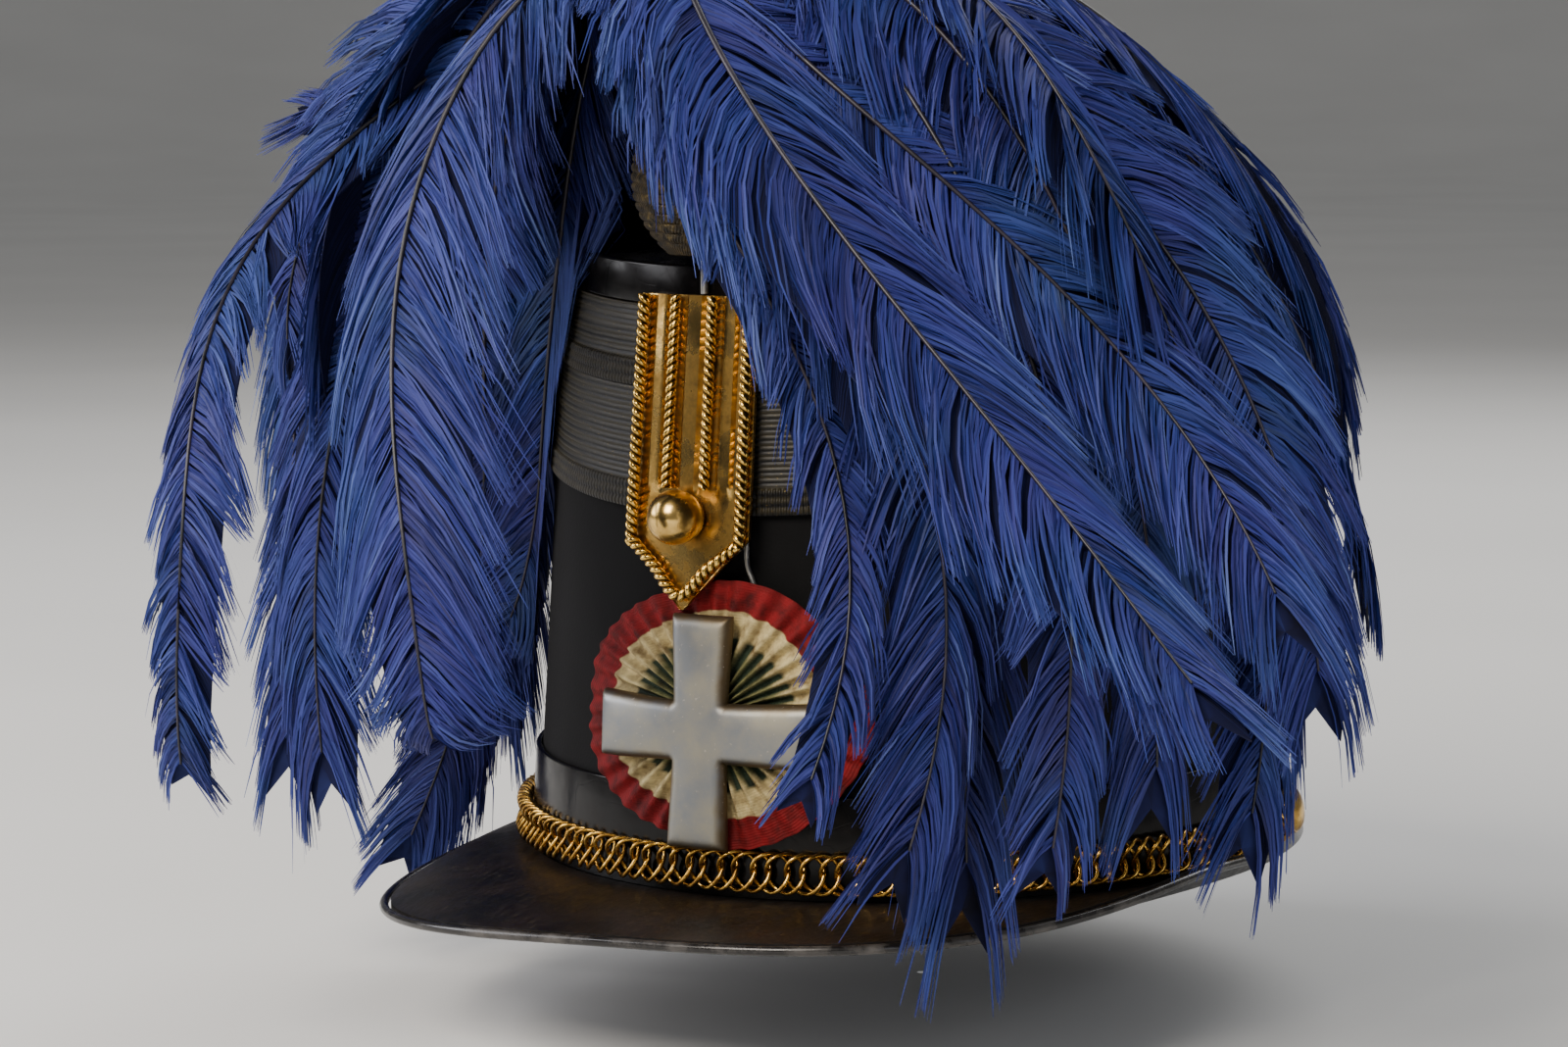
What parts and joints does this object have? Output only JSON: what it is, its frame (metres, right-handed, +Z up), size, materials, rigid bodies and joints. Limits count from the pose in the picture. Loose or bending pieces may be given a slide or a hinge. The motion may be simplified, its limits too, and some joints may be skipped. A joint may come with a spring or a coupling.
{
  "type": "plumed parade shako",
  "caption": "Shako with a drooping feather plume, cockade, cross badge, lace bands, chin chain and leather peak, worn on the head.",
  "frame": {"origin": "centre of the oval head opening, in the plane of the bottom rim", "axes": "+Z up through the crown, -Y to the front where the peak and badge are, +X to the wearer's left"},
  "size_m": [0.3661, 0.309, 0.2407],
  "materials": {
    "black_velvet": "short pile cloth",
    "patent_leather": "glossy",
    "silk_lace": "ribbed silk and metal thread",
    "worn_leather": "worn satin",
    "gilt_brass": "tarnished gilt",
    "gilt_wire": "twisted wire",
    "white_metal": "dull silvered",
    "ribbon": "pleated silk in three rings",
    "wound_lace": "wound metal thread",
    "dyed_feather": "soft barbs with a blue sheen"
  },
  "bodies": {
    "root": {"body": "black_velvet", "crown_top": "patent_leather", "crown_band": "patent_leather", "lace_upper": "silk_lace", "lace_lower": "silk_lace", "base_band": "patent_leather", "peak": "worn_leather", "peak_binding": "patent_leather", "chin_chain": "gilt_brass", "chain_button_left": "gilt_brass", "chain_button_right": "gilt_brass", "loop_plate": "gilt_brass", "plate_border": "gilt_wire", "plate_wire_left": "gilt_wire", "plate_wire_right": "gilt_wire", "ball_button": "gilt_brass", "hook_wire": "white_metal", "cockade": "ribbon", "cross": "white_metal", "olive": "wound_lace", "plume_prong": "gilt_brass", "plume": "dyed_feather"}
  },
  "joints": []
}
